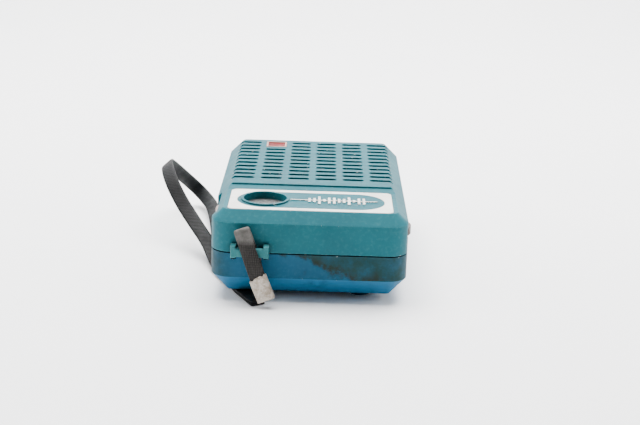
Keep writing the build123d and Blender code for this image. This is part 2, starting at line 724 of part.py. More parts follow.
# four clips, each a strip from its post to the speaker's rim, with its screw
for number, (x, y) in enumerate(speaker_posts_at):
    clip_plane = Plane(
        origin=(x, speaker_y + y, rim_low - clip_t),
        x_dir=(-x, -y, 0),
        z_dir=(0, 0, 1),
    )
    with BuildPart() as speaker_clip:
        with BuildSketch(clip_plane):
            with Locations((clip_reach / 2 - clip_tail, 0)):
                Rectangle(clip_reach, clip_w)
            Circle(clip_screw_r, mode=Mode.SUBTRACT)
        extrude(amount=clip_t)
    keep(speaker_clip.part, f"speaker_clip_{number + 1}")

with BuildPart() as clip_screws:
    with BuildSketch(Plane.XY.offset(rim_low - clip_t - clip_screw_head_h)):
        with Locations((0, speaker_y)):
            with Locations(*speaker_posts_at):
                Circle(clip_screw_head_r)
    extrude(amount=clip_screw_head_h)
    with BuildSketch(Plane.XY.offset(rim_low - clip_t)):
        with Locations((0, speaker_y)):
            with Locations(*speaker_posts_at):
                Circle(clip_screw_r)
    extrude(amount=clip_t)
keep(clip_screws.part, "clip_screws")

# ---- battery, its snap connector and the internal leads ----------------------------------------
battery_end = battery_x + battery_l / 2
battery_mid_z = battery_z + battery_t / 2
studs_at = [(battery_y - stud_gap / 2, battery_mid_z), (battery_y + stud_gap / 2, battery_mid_z)]

with BuildPart() as battery:
    with BuildSketch(Plane.XY.offset(battery_z)):
        with Locations((battery_x, battery_y)):
            Rectangle(battery_l, battery_w)
    extrude(amount=battery_t)
    fillet(battery.edges().filter_by(Axis.X), 1.8)
    with BuildSketch(Plane.YZ.offset(battery_end)):
        with Locations(*studs_at):
            Circle(stud_r)
    extrude(amount=stud_h)
keep(battery.part, "battery")

with BuildPart() as snap_connector:
    with BuildSketch(Plane.YZ.offset(battery_end + snap_gap)):
        with Locations((battery_y, battery_mid_z)):
            RectangleRounded(battery_w - 2, battery_t - 5, 3)
    extrude(amount=snap_t)
    with BuildSketch(Plane.YZ.offset(battery_end + snap_gap)):
        with Locations(*studs_at):
            Circle(stud_r + pin_fit)
    extrude(amount=stud_h - snap_gap, mode=Mode.SUBTRACT)
keep(snap_connector.part, "snap_connector")

snap_mid_x = battery_end + snap_gap + snap_t / 2
snap_edge_y = battery_y - battery_w / 2 + 1
lead_routes = {
    "battery_lead_red": [
        (snap_mid_x, snap_edge_y, battery_mid_z + 2.4),
        (snap_mid_x, 9, board_z - 6.5),
        (19.8, -4, board_z - 4.6),
        (14.5, board_far - 1.4, board_z - 0.6),
    ],
    "battery_lead_black": [
        (snap_mid_x, snap_edge_y, battery_mid_z - 1.6),
        (snap_mid_x - 0.8, 8, board_z - 9),
        (18.6, -4, board_z - 7),
        (16.5, board_far - 4.6, board_z - 0.6),
    ],
    "speaker_lead_1": [
        (magnet_r + 3.8, speaker_y - 2.4, magnet_high - 1.8),
        (14.0, 1.5, board_z - 0.6),
        (10.5, -8, board_z - 1.4),
        (5.2, board_far - 1.2, board_z - 0.6),
    ],
    "speaker_lead_2": [
        (magnet_r + 3.8, speaker_y + 2.4, magnet_high - 1.8),
        (18.6, 5.0, board_z - 0.8),
        (14.5, -7, board_z - 1.6),
        (9.6, board_far - 1.2, board_z - 0.6),
    ],
}


def bend_radii(points, share=0.45):
    """Each bend's radius, as large as its two runs allow."""
    radii = []
    for before, at, after in zip(points, points[1:], points[2:]):
        into = Vector(at) - Vector(before)
        out = Vector(after) - Vector(at)
        half_turn = into.get_angle(out) / 2
        radii.append(share * min(into.length, out.length) / tan(radians(half_turn)))
    return radii


for name, points in lead_routes.items():
    with BuildPart() as lead:
        with BuildLine():
            lead_path = FilletPolyline(*points, radius=bend_radii(points))
        with BuildSketch(lead_path ^ 0):
            Circle(lead_r)
        sweep()
    keep(lead.part, name)

# ---- strap: clamp, hanger loop through the lug and the wrist loop --------------------------------
clamp_top = Vector(-19.2, -64.2, 12.0)
clamp_axis = Vector(0.383, -0.105, -0.918).normalized()
clamp_side = Vector(0.918, 0, 0.383).normalized()

with BuildPart() as strap_clamp:
    with BuildSketch(Plane(origin=clamp_top, x_dir=clamp_side, z_dir=clamp_axis)):
        RectangleRounded(clamp_w, clamp_t, 0.6)
        Rectangle(clamp_w - 2 * clamp_wall, clamp_t - 2 * clamp_wall, mode=Mode.SUBTRACT)
    extrude(amount=clamp_l)
keep(strap_clamp.part, "strap_clamp")

hanger_side = Vector(0.942, 0, 0.335).normalized()
hanger_plane = Plane(origin=clamp_top - clamp_axis * 0.2, x_dir=(0, 1, 0), z_dir=hanger_side)
hanger_rise = hanger_plane.y_dir.Z
bar_mid = (lug_low + lug_bar_up + lug_bar_h / 2 - clamp_top.Z) / abs(hanger_rise)
front_off = lug_front - fit - strap_t / 2 - clamp_top.Y
behind_off = lug_front + lug_bar_t + 2 * fit + strap_t / 2 - clamp_top.Y
hanger_points = [
    (-0.6, -1.4),
    (-0.6, 3.4),
    (front_off, bar_mid + 2.4),
    (front_off + 0.4, 17.9),
    (behind_off - 0.9, 17.9),
    (behind_off, bar_mid + 2.4),
    (behind_off, bar_mid - 3.4),
    (0.6, 1.6),
    (0.6, -1.4),
]
hanger_spots = [hanger_plane.from_local_coords(Vector(along, up, 0)) for along, up in hanger_points]
with BuildPart() as strap_hanger:
    with BuildLine():
        hanger_path = FilletPolyline(*hanger_spots, radius=bend_radii(hanger_spots))
    with BuildSketch(Plane(origin=hanger_path @ 0, x_dir=hanger_side, z_dir=hanger_path.tangent_at(0))):
        Rectangle(strap_w, strap_t)
    sweep()
print(f"hanger length {hanger_path.length:.1f}, swept {strap_hanger.part.volume / strap_w / strap_t:.1f}")
keep(strap_hanger.part, "strap_hanger")

strap_points = [
    (-17.0, -65.4, 1.95),
    (-18.9, -62.8, 1.95),
    (-21.4, -58.6, 1.9),
    (-24.4, -52.6, 1.85),
    (-27.6, -46.2, 1.85),
    (-32.6, -36.5, 1.85),
    (-36.6, -27.0, 2.3),
    (-39.4, -18.5, 4.4),
    (-42.6, -9.5, 7.4),
    (-49.6, 2.5, 12.5),
    (-56.0, 12.5, 18.0),
    (-61.8, 22.5, 25.0),
    (-65.0, 33.0, 30.0),
    (-64.0, 43.5, 25.8),
    (-61.0, 54.5, 19.2),
    (-58.0, 65.0, 12.8),
    (-54.4, 72.0, 7.0),
    (-49.6, 64.5, 4.7),
    (-45.2, 49.0, 4.9),
    (-41.6, 26.0, 3.8),
    (-38.6, 0.0, 1.3),
    (-34.0, -26.0, 0.65),
    (-27.3, -46.0, 0.62),
    (-24.2, -52.4, 0.62),
    (-21.2, -58.4, 0.62),
    (-18.9, -62.8, 0.62),
    (-17.1, -65.5, 0.62),
]
strap_radii = bend_radii(strap_points)
print("strap bend radii:", [round(radius, 1) for radius in strap_radii])
with BuildPart() as wrist_strap:
    with BuildLine():
        strap_path = FilletPolyline(*strap_points, radius=strap_radii)
    start_way = strap_path.tangent_at(0)
    across = Vector(-start_way.Y, start_way.X, 0).normalized()
    with BuildSketch(Plane(origin=strap_path @ 0, x_dir=across, z_dir=start_way)):
        Rectangle(strap_w, strap_t)
    sweep(binormal=strap_path.moved(Location((0, 0, 40))))
print(f"strap length {strap_path.length:.1f}, swept {wrist_strap.part.volume / strap_w / strap_t:.1f}")
keep(wrist_strap.part, "wrist_strap")
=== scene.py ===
"""A worn teal transistor pocket radio lying on its back, with its wrist strap beside it.

The radio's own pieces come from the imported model. This script remakes the strap, the
hanger loop and the metal clamp in finer form, and gives every piece its material.
Lengths are in metres in the model's frame: +Z up, +Y away from the strap end. Routes
are in millimetres.
"""

import json
import math

import bmesh
import bpy
from mathutils import Matrix, Vector, noise


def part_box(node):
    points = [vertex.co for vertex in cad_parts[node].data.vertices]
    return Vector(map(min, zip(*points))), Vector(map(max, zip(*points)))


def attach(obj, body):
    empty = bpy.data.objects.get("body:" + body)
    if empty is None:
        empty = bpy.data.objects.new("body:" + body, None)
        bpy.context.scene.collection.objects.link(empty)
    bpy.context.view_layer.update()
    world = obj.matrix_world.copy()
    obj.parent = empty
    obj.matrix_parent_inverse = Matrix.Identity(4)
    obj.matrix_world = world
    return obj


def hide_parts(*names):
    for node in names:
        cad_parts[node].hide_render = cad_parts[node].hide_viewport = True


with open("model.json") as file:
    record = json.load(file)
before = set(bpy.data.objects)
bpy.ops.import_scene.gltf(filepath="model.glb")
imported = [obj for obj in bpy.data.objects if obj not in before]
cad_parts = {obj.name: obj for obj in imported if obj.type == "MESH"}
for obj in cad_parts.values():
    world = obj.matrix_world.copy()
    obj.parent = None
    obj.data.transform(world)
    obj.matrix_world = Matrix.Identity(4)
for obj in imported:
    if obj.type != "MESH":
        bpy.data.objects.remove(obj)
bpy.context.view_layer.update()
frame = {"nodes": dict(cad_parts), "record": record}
nodes = frame["nodes"]
MM = 0.001

# ---- camera ---------------------------------------------------------------------------
CAMERA_AT = Vector((0.0036, -0.5403, 0.1800))
CAMERA_DOWN = math.radians(16.61)
CAMERA_ROLL = math.radians(1.805)
LENS_MM = 75.56
SENSOR_MM = 36.0

camera_data = bpy.data.cameras.new("camera")
camera_data.lens = LENS_MM
camera_data.sensor_width = SENSOR_MM
camera_data.clip_start = 0.01
camera = bpy.data.objects.new("camera", camera_data)
bpy.context.scene.collection.objects.link(camera)
tilt = Matrix.Rotation(math.pi / 2 - CAMERA_DOWN, 4, "X") @ Matrix.Rotation(CAMERA_ROLL, 4, "Z")
camera.matrix_world = Matrix.Translation(CAMERA_AT) @ tilt
bpy.context.scene.camera = camera


# ---- small mesh helpers -----------------------------------------------------------------
def add_mesh(name, verts, faces, smooth=True):
    """A new mesh object from points and faces."""
    mesh = bpy.data.meshes.new(name)
    mesh.from_pydata([tuple(v) for v in verts], [], faces)
    mesh.update()
    made = bmesh.new()
    made.from_mesh(mesh)
    bmesh.ops.recalc_face_normals(made, faces=made.faces)
    made.to_mesh(mesh)
    made.free()
    for face in mesh.polygons:
        face.use_smooth = smooth
    piece = bpy.data.objects.new(name, mesh)
    bpy.context.scene.collection.objects.link(piece)
    return piece


def skin(rings, closed=False):
    """Faces that join rings of equal length, with end caps unless the rings close up."""
    count, around = len(rings), len(rings[0])
    verts = [point for ring in rings for point in ring]
    faces = []
    for i in range(count if closed else count - 1):
        for j in range(around):
            a, b = i * around + j, i * around + (j + 1) % around
            c, d = ((i + 1) % count) * around + (j + 1) % around, ((i + 1) % count) * around + j
            faces.append((a, b, c, d))
    if not closed:
        faces.append(tuple(range(around)))
        faces.append(tuple((count - 1) * around + j for j in reversed(range(around))))
    return verts, faces


def spline_points(name, route, resolution=16):
    """Points along the smooth curve that a given route controls."""
    curve = bpy.data.curves.new(name, "CURVE")
    curve.dimensions = "3D"
    curve.resolution_u = resolution
    line = curve.splines.new("NURBS")
    line.points.add(len(route) - 1)
    for point, spot in zip(line.points, route):
        point.co = (*(coordinate * MM for coordinate in spot), 1.0)
    line.order_u = 3
    line.use_endpoint_u = True
    holder = bpy.data.objects.new(name, curve)
    mesh = bpy.data.meshes.new_from_object(holder)
    points = [v.co.copy() for v in mesh.vertices]
    bpy.data.objects.remove(holder)
    return points


def squared_circle(angle, half_w, half_t, *, power_w, power_t):
    """A point on a rounded oblong. The smaller a power, the flatter that pair of sides."""
    across = math.copysign(abs(math.cos(angle)) ** power_w, math.cos(angle)) * half_w
    out = math.copysign(abs(math.sin(angle)) ** power_t, math.sin(angle)) * half_t
    return across, out


def strap_section(half_w, half_t, around=20):
    """Outline of a strap: flat faces with rounded edges and a faint crown."""
    angles = (2 * math.pi * (k + 0.5) / around for k in range(around))
    return [squared_circle(angle, half_w, half_t, power_w=0.45, power_t=0.75) for angle in angles]


def ribbon(name, path, sides, width, thick, floor=None):
    """A flat strap along path. sides gives the width's direction at each point.

    Its outer face takes the first material and its inner face the second.
    """
    rings = []
    for i, at in enumerate(path):
        before, after = path[max(i - 1, 0)], path[min(i + 1, len(path) - 1)]
        along = (after - before).normalized()
        side = sides[i] - along * sides[i].dot(along)
        side.normalize()
        face = along.cross(side)
        ring = []
        for across, out in strap_section(width / 2, thick / 2):
            point = at + side * across + face * out
            if floor is not None:
                point.z = max(point.z, floor)
            ring.append(point)
        rings.append(ring)
    piece = add_mesh(name, *skin(rings))
    around = len(rings[0])
    for part in piece.data.polygons:
        part.material_index = int(part.index % around < around // 2)
    return piece


# ---- wrist strap, a flat loop whose two ends are held in the clamp ---------------------------
STRAP_WIDTH, STRAP_THICK = 6.0 * MM, 1.1 * MM
STRAP_ABOVE_FLOOR = 0.02 * MM
STRAP_ROUTE = [
    (-18.8, -62.9, 1.95),
    (-19.8, -61.4, 1.95),
    (-21.4, -58.6, 1.9),
    (-24.4, -52.6, 1.85),
    (-27.6, -46.2, 1.85),
    (-32.6, -36.5, 1.85),
    (-36.6, -27.0, 2.3),
    (-39.4, -18.5, 4.4),
    (-42.6, -9.5, 7.4),
    (-49.6, 2.5, 12.5),
    (-56.0, 12.5, 18.0),
    (-61.8, 22.5, 25.0),
    (-65.0, 33.0, 30.0),
    (-64.0, 43.5, 25.8),
    (-61.0, 54.5, 19.2),
    (-58.0, 65.0, 12.8),
    (-54.4, 72.0, 7.0),
    (-49.6, 64.5, 4.7),
    (-45.2, 49.0, 4.9),
    (-41.6, 26.0, 3.8),
    (-38.6, 0.0, 1.3),
    (-34.0, -26.0, 0.65),
    (-27.3, -46.0, 0.62),
    (-24.2, -52.4, 0.62),
    (-21.2, -58.4, 0.62),
    (-19.8, -61.4, 0.62),
    (-18.9, -62.9, 0.62),
]
# the direction of the strap's width at each of those places
STRAP_SIDES = [
    (0.8, 0.6, 0), (0.82, 0.57, 0), (0.87, 0.5, 0),
    (0.9, 0.44, 0), (0.9, 0.44, 0), (0.9, 0.42, 0),
    (0.95, 0.32, 0.02), (0.94, 0.33, 0.05), (0.92, 0.34, 0.16),
    (0.88, 0.34, 0.34), (0.84, 0.3, 0.44), (0.8, 0.22, 0.55),
    (0.74, 0.1, 0.66), (0.73, 0.1, 0.67), (0.73, 0.1, 0.67),
    (0.74, 0.16, 0.65), (0.76, 0.22, 0.62), (0.84, 0.24, 0.48),
    (0.92, 0.22, 0.32), (0.97, 0.15, 0.18), (0.98, 0.15, 0.04),
    (0.96, 0.26, 0), (0.9, 0.44, 0), (0.9, 0.44, 0),
    (0.88, 0.48, 0), (0.82, 0.57, 0), (0.8, 0.6, 0),
]
strap_path = spline_points("strap_route", STRAP_ROUTE)
# spline_points takes millimetres, so the directions are scaled up to come back as they are
strap_sides = spline_points("strap_sides", [tuple(c / MM for c in side) for side in STRAP_SIDES])
wrist_strap = ribbon("wrist_strap_leather", strap_path, strap_sides, STRAP_WIDTH, STRAP_THICK,
                     floor=STRAP_ABOVE_FLOOR)
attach(wrist_strap, "rear_half")
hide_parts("wrist_strap")

# ---- hanger, the short loop through the lug, with both ends in the top of the clamp -----------
CLAMP_TOP = Vector((-19.2, -64.2, 12.0)) * MM
CLAMP_AXIS = Vector((0.383, -0.105, -0.918)).normalized()
CLAMP_SIDE = Vector((0.918, 0, 0.383)).normalized()
CLAMP_FACE = CLAMP_AXIS.cross(CLAMP_SIDE).normalized()
HANGER_SIDE = Vector((0.942, 0, 0.335)).normalized()
HANGER_UP = HANGER_SIDE.cross(Vector((0, 1, 0))).normalized()
HANGER_WIDTH = STRAP_WIDTH - 0.1 * MM
HANGER_ABOVE_CLAMP = 0.2
HANGER_BEFORE_LUG, HANGER_BEHIND_LUG = 0.70, 2.65
hanger_from = CLAMP_TOP - CLAMP_AXIS * HANGER_ABOVE_CLAMP * MM
lug_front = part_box("strap_lug")[0].y
front_y = (lug_front - CLAMP_TOP.y) / MM - HANGER_BEFORE_LUG
behind_y = (lug_front - CLAMP_TOP.y) / MM + HANGER_BEHIND_LUG
# each place is back along Y and up along the loop, from the top of the clamp
HANGER_ROUTE = [
    (-0.6, -1.4),
    (-0.6, 3.4),
    (front_y, 10.9),
    (front_y + 0.2, 15.0),
    (front_y + 0.5, 18.6),
    (behind_y - 0.9, 18.6),
    (behind_y, 14.5),
    (behind_y, 10.9),
    (behind_y, 5.9),
    (0.6, 1.6),
    (0.6, -1.4),
]
hanger_spots = [
    (hanger_from + Vector((0, 1, 0)) * (y * MM) + HANGER_UP * (up * MM)) / MM for y, up in HANGER_ROUTE
]
hanger_path = spline_points("hanger_route", [tuple(spot) for spot in hanger_spots])
hanger = ribbon("hanger_leather", hanger_path, [HANGER_SIDE] * len(hanger_path), HANGER_WIDTH, STRAP_THICK)
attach(hanger, "rear_half")
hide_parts("strap_hanger")

# ---- clamp, a strip of sheet metal wrapped round both straps, torn along its top edge ---------
CLAMP_W, CLAMP_L, CLAMP_T, CLAMP_WALL = 7.0 * MM, 9.6 * MM, 3.2 * MM, 0.4 * MM
CLAMP_POINTS, CLAMP_STEPS = 72, 14
TEAR_DEPTH, TEAR_SLOPE, TEAR_WAVE, TEAR_WAVE_SHARE = 1.1 * MM, 0.9, 2.3, 0.55
DENT_DEPTH, DENT_SCALE = 0.10 * MM, 420


def clamp_ring(inset, down, torn):
    """One ring of the clamp's outer or inner wall, down from its top edge."""
    ring = []
    for k in range(CLAMP_POINTS):
        angle = 2 * math.pi * k / CLAMP_POINTS
        across, out = squared_circle(angle, CLAMP_W / 2 - inset, CLAMP_T / 2 - inset,
                                     power_w=0.35, power_t=0.55)
        tear = 0.0
        if torn:
            slope = -TEAR_SLOPE * across / CLAMP_W
            tear = (TEAR_WAVE_SHARE * abs(math.sin(across / MM * TEAR_WAVE)) + slope) * TEAR_DEPTH
        dent = noise.noise(Vector((across, out, down)) * DENT_SCALE) * DENT_DEPTH
        at = CLAMP_TOP + CLAMP_AXIS * (down + tear) + CLAMP_SIDE * across
        ring.append(at + CLAMP_FACE * (out + dent * (1 if out > 0 else -1)))
    return ring


def clamp_wall(inset):
    """The rings of one wall, from the torn top edge down."""
    return [clamp_ring(inset, CLAMP_L * i / CLAMP_STEPS, i == 0) for i in range(CLAMP_STEPS + 1)]


clamp_rings = clamp_wall(0) + clamp_wall(CLAMP_WALL)[::-1]
clamp = add_mesh("clamp_sheet_metal", *skin(clamp_rings, closed=True))
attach(clamp, "rear_half")
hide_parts("strap_clamp")


# ---- materials ---------------------------------------------------------------------------
class Paint:
    """Builds one procedural material around a Principled shader."""

    def __init__(self, name, rough=0.5, metal=0.0, **sockets):
        self.material = bpy.data.materials.new(name)
        self.material.use_nodes = True
        self.tree = self.material.node_tree
        self.shader = self.tree.nodes["Principled BSDF"]
        self.shader.inputs["Roughness"].default_value = rough
        self.shader.inputs["Metallic"].default_value = metal
        for socket, value in sockets.items():
            self.shader.inputs[socket.replace("_", " ")].default_value = value
        self.place = self.node("ShaderNodeTexCoord").outputs["Object"]

    def node(self, kind, **values):
        """Adds a node and sets its inputs by name."""
        made = self.tree.nodes.new(kind)
        for key, value in values.items():
            made.inputs[key.replace("_", " ")].default_value = value
        return made

    def join(self, output, target):
        """Links an output to an input."""
        self.tree.links.new(output, target)

    def noise(self, scale, detail=4.0, rough=0.55, stretch=None):
        """Fractal noise over the piece, from 0 to 1, stretched along an axis if asked."""
        texture = self.node("ShaderNodeTexNoise", Scale=scale, Detail=detail, Roughness=rough)
        if stretch:
            mapping = self.node("ShaderNodeMapping")
            mapping.inputs["Scale"].default_value = stretch
            self.join(self.place, mapping.inputs["Vector"])
            self.join(mapping.outputs["Vector"], texture.inputs["Vector"])
        else:
            self.join(self.place, texture.inputs["Vector"])
        return texture.outputs["Fac"]

    def ramp(self, value, low, high, start=0.0, end=1.0):
        """Maps value from low..high to start..end, held at both ends."""
        made = self.node("ShaderNodeMapRange")
        made.inputs["From Min"].default_value = low
        made.inputs["From Max"].default_value = high
        made.inputs["To Min"].default_value = start
        made.inputs["To Max"].default_value = end
        self.join(value, made.inputs["Value"])
        return made.outputs["Result"]

    def patches(self, scale, detail, low, high, start=0.0, end=1.0, rough=0.55, stretch=None):
        """Fractal noise with its band from low to high mapped to start..end."""
        return self.ramp(self.noise(scale, detail, rough, stretch), low, high, start, end)

    def maths(self, operation, first, second=0.0):
        """Arithmetic on one or two values, each an output or a number."""
        made = self.node("ShaderNodeMath")
        made.operation = operation
        for slot, value in enumerate((first, second)):
            if isinstance(value, (int, float)):
                made.inputs[slot].default_value = value
            else:
                self.join(value, made.inputs[slot])
        return made.outputs[0]

    def times(self, first, second):
        """The product of two values, each an output or a number."""
        return self.maths("MULTIPLY", first, second)

    def mix(self, share, first, second):
        """Colour mix. Each colour is an output or three numbers."""
        made = self.node("ShaderNodeMix")
        made.data_type = "RGBA"
        self.join(share, made.inputs[0])
        # inputs 6 and 7 and output 2 are the node's colour sockets
        for slot, value in ((6, first), (7, second)):
            if isinstance(value, tuple):
                made.inputs[slot].default_value = (*value, 1.0)
            else:
                self.join(value, made.inputs[slot])
        return made.outputs[2]

    def edge(self, radius, low=0.02, high=0.25):
        """1 along convex and concave edges within radius, 0 on open faces."""
        soft = self.node("ShaderNodeBevel", Radius=radius)
        true = self.node("ShaderNodeNewGeometry")
        dot = self.node("ShaderNodeVectorMath")
        dot.operation = "DOT_PRODUCT"
        self.join(soft.outputs["Normal"], dot.inputs[0])
        self.join(true.outputs["Normal"], dot.inputs[1])
        return self.ramp(self.maths("SUBTRACT", 1.0, dot.outputs["Value"]), low, high)

    def crevice(self, reach, low=0.35, high=0.85):
        """1 deep in corners and slots, 0 in the open."""
        shade = self.node("ShaderNodeAmbientOcclusion", Distance=reach)
        return self.ramp(shade.outputs["AO"], low, high, 1.0, 0.0)

    def facing(self, axis, low, high):
        """0 to 1 as the surface turns towards an axis of the frame."""
        split = self.node("ShaderNodeSeparateXYZ")
        self.join(self.node("ShaderNodeNewGeometry").outputs["Normal"], split.inputs[0])
        return self.ramp(split.outputs[axis], low, high)

    def along(self, axis, low, high):
        """0 to 1 as the place goes from low to high along an axis of the frame."""
        split = self.node("ShaderNodeSeparateXYZ")
        self.join(self.place, split.inputs[0])
        return self.ramp(split.outputs[axis], low, high)

    def bump(self, height, depth, strength=0.6, rounding=None):
        """Relief of the given depth, over edges softened by rounding."""
        made = self.node("ShaderNodeBump", Strength=strength, Distance=depth)
        self.join(height, made.inputs["Height"])
        if rounding:
            self.join(self.node("ShaderNodeBevel", Radius=rounding).outputs["Normal"], made.inputs["Normal"])
        self.join(made.outputs["Normal"], self.shader.inputs["Normal"])

    def finish(self, colour=None, rough=None):
        """Connects colour and roughness, each an output or a fixed value, and returns the material."""
        if isinstance(colour, tuple):
            self.shader.inputs["Base Color"].default_value = (*colour, 1.0)
        elif colour is not None:
            self.join(colour, self.shader.inputs["Base Color"])
        if rough is not None:
            self.join(rough, self.shader.inputs["Roughness"])
        return self.material


def rgb(red, green, blue):
    """Linear colour from 0 to 255 display values."""
    display = (red / 255, green / 255, blue / 255)
    return tuple(c / 12.92 if c <= 0.04045 else ((c + 0.055) / 1.055) ** 2.4 for c in display)


CASE_CREVICE_SHADE_AND_DIRT = 0.0030       # reach of the painted shade and of the dirt specks in corners and slots
CASE_RUBBED = 0.0006        # width of the pale rubbed edges
STAIN_TILT = 0.28           # slope of the stain's lower line, rising to the left
STAIN_RAGGED = 0.016        # how far that line wanders
STAIN_LINE = (0.0150, 0.0172)
STAIN_LEFT_END = (-0.027, -0.034)
STREAK_RISE, STREAK_FALL = (0.0148, 0.0166), (0.0205, 0.0172)


def handling_stain(paint, colour, grime):
    """Greenish stain over the upper right and the left end, with dirt along its lower line."""
    split = paint.node("ShaderNodeSeparateXYZ")
    paint.join(paint.place, split.inputs[0])
    ragged = paint.times(paint.maths("SUBTRACT", paint.noise(95, 7, 0.6), 0.5), STAIN_RAGGED)
    level = paint.maths("ADD", split.outputs["Z"], paint.times(split.outputs["X"], STAIN_TILT))
    level = paint.maths("ADD", level, ragged)
    left_end = paint.ramp(split.outputs["X"], *STAIN_LEFT_END)
    stain = paint.maths("MAXIMUM", paint.ramp(level, *STAIN_LINE), paint.times(left_end, 0.8))
    blotch = paint.patches(210, 7, 0.35, 0.6, 0.55, 0.95, rough=0.65)
    colour = paint.mix(paint.times(stain, blotch), colour, rgb(8, 46, 44))
    rim = paint.times(paint.ramp(level, *STREAK_RISE), paint.ramp(level, *STREAK_FALL))
    streak = paint.times(rim, paint.patches(330, 8, 0.44, 0.56, 0, 0.9, rough=0.7))
    return paint.mix(streak, colour, grime)


def case_plastic(name, base, pale, deep, grime, stain_and_bounce_light=False):
    """Old moulded plastic: mottled, rubbed pale along its edges, with painted shade and dirt specks in its
    corners.

    When asked, it also carries a handling stain, and painted bounce light that makes its downward faces
    bluer and lighter.
    """
    paint = Paint(name, rough=0.42, Specular_IOR_Level=0.14)
    colour = paint.mix(paint.patches(55, 5, 0.35, 0.68), base, deep)
    colour = paint.mix(paint.patches(700, 7, 0.5, 0.8, 0, 0.09), colour, pale)
    if stain_and_bounce_light:
        colour = handling_stain(paint, colour, grime)
        # painted bounce light: faces turned down are painted a lighter blue
        colour = paint.mix(paint.facing("Z", -0.1, -0.9), colour, rgb(28, 100, 138))
    smear = paint.times(paint.patches(60, 8, 0.60, 0.70, rough=0.7), 0.35)
    colour = paint.mix(smear, colour, grime)
    # painted shade: corners and slots are darkened towards deep teal, in patches
    corner_shade = paint.times(paint.crevice(CASE_CREVICE_SHADE_AND_DIRT), paint.patches(240, 4, 0.3, 0.6, 0.45, 0.9))
    colour = paint.mix(paint.times(corner_shade, 0.75), colour, rgb(4, 28, 32))
    specks = paint.times(paint.crevice(CASE_CREVICE_SHADE_AND_DIRT), paint.patches(380, 3, 0.66, 0.70))
    colour = paint.mix(specks, colour, rgb(120, 74, 40))
    rubbed = paint.edge(CASE_RUBBED)
    colour = paint.mix(paint.times(rubbed, 0.24), colour, pale)
    chips = paint.times(rubbed, paint.patches(620, 3, 0.65, 0.69))
    colour = paint.mix(chips, colour, rgb(226, 234, 232))
    paint.bump(paint.noise(1500, 4, 0.6), 0.00004, 0.35, rounding=0.00035)
    scuffs = paint.patches(130, 8, 0.3, 0.75, 0.44, 0.66, rough=0.75, stretch=(1, 7, 1))
    return paint.finish(colour, scuffs)


def solid(name, base, other, rough=0.5, metal=0.0, depth=0.00003, fine=900, rounding=0.0002, **sockets):
    """A plain worked material: two close tones, fine relief and softened edges."""
    paint = Paint(name, rough=rough, metal=metal, **sockets)
    colour = paint.mix(paint.patches(120, 5, 0.35, 0.7), base, other)
    paint.bump(paint.noise(fine, 4), depth, 0.5, rounding=rounding)
    return paint.finish(colour, paint.patches(240, 5, 0.3, 0.7, rough - 0.08, rough + 0.1))


def brushed(name, base, other, rough=0.35, stretch=(1, 14, 1)):
    """Bare metal with drawn scratches and tarnish."""
    paint = Paint(name, rough=rough, metal=0.9)
    colour = paint.mix(paint.patches(300, 6, 0.4, 0.65), base, other)
    paint.bump(paint.noise(900, 6, 0.7, stretch), 0.00003, 0.5, rounding=0.00015)
    return paint.finish(colour, paint.patches(500, 6, 0.3, 0.7, rough - 0.1, rough + 0.2))


GRAIN_SCALE = (1700.0, 1700.0, 1100.0)
GRAIN_TURN = math.radians(45)
# where the hanger folds over its top, its front gets a painted sheen
SHEEN_HEIGHT, SHEEN_NEAR = (0.0240, 0.0262), (-0.058, -0.0595)    # top of the hanger, in front
BEND_HEIGHT, BEND_REACH = (0.0200, 0.0290), (0.015, 0.028)      # highest part of the strap


def leatherette(name, low, high, grain_depth):
    """Imitation leather: diamond grain, rubbed paler along its edges, greyer over the top of the strap's
    loop, and with a painted sheen over the front of the hanger's fold.
    """
    paint = Paint(name, rough=0.6, Specular_IOR_Level=0.08)
    turned = paint.node("ShaderNodeMapping")
    turned.inputs["Rotation"].default_value = (0.0, 0.0, GRAIN_TURN)
    turned.inputs["Scale"].default_value = GRAIN_SCALE
    paint.join(paint.place, turned.inputs["Vector"])
    grain = paint.node("ShaderNodeTexVoronoi", Scale=1.0, Randomness=0.25)
    paint.join(turned.outputs["Vector"], grain.inputs["Vector"])
    height = paint.ramp(grain.outputs["Distance"], 0.1, 0.7, 1, 0)
    # painted sheen: the front of the hanger's fold is painted grey, as a highlight from the top light
    fold_sheen = paint.times(paint.along("Z", *SHEEN_HEIGHT), paint.along("Y", *SHEEN_NEAR))
    fold_sheen = paint.times(fold_sheen, paint.patches(300, 6, 0.3, 0.6, 0.4, 1, rough=0.7))
    bend = paint.times(paint.along("Z", *BEND_HEIGHT), paint.along("Y", *BEND_REACH))
    colour = paint.mix(height, low, high)
    colour = paint.mix(paint.patches(140, 5, 0.4, 0.7, 0, 0.35), colour, high)
    colour = paint.mix(paint.times(bend, 0.35), colour, rgb(84, 85, 86))
    colour = paint.mix(fold_sheen, colour, rgb(92, 90, 87))
    colour = paint.mix(paint.times(paint.edge(0.0003), 0.3), colour, rgb(70, 69, 68))
    paint.bump(height, grain_depth, 0.7)
    return paint.finish(colour, paint.patches(300, 5, 0.3, 0.7, 0.4, 0.6))


def torn_metal():
    """The clamp: dull scratched strip with scraps of lost plating."""
    paint = Paint("clamp_dull_metal", rough=0.5, metal=0.45)
    tarnish = paint.patches(380, 8, 0.42, 0.62, rough=0.7)
    colour = paint.mix(tarnish, rgb(176, 166, 154), rgb(128, 116, 102))
    flecks = paint.patches(1500, 4, 0.6, 0.66, rough=0.6)
    colour = paint.mix(flecks, colour, rgb(214, 206, 196))
    paint.bump(paint.noise(700, 8, 0.75, (6, 1, 1)), 0.00010, 0.8)
    return paint.finish(colour, paint.patches(600, 6, 0.3, 0.7, 0.35, 0.62))


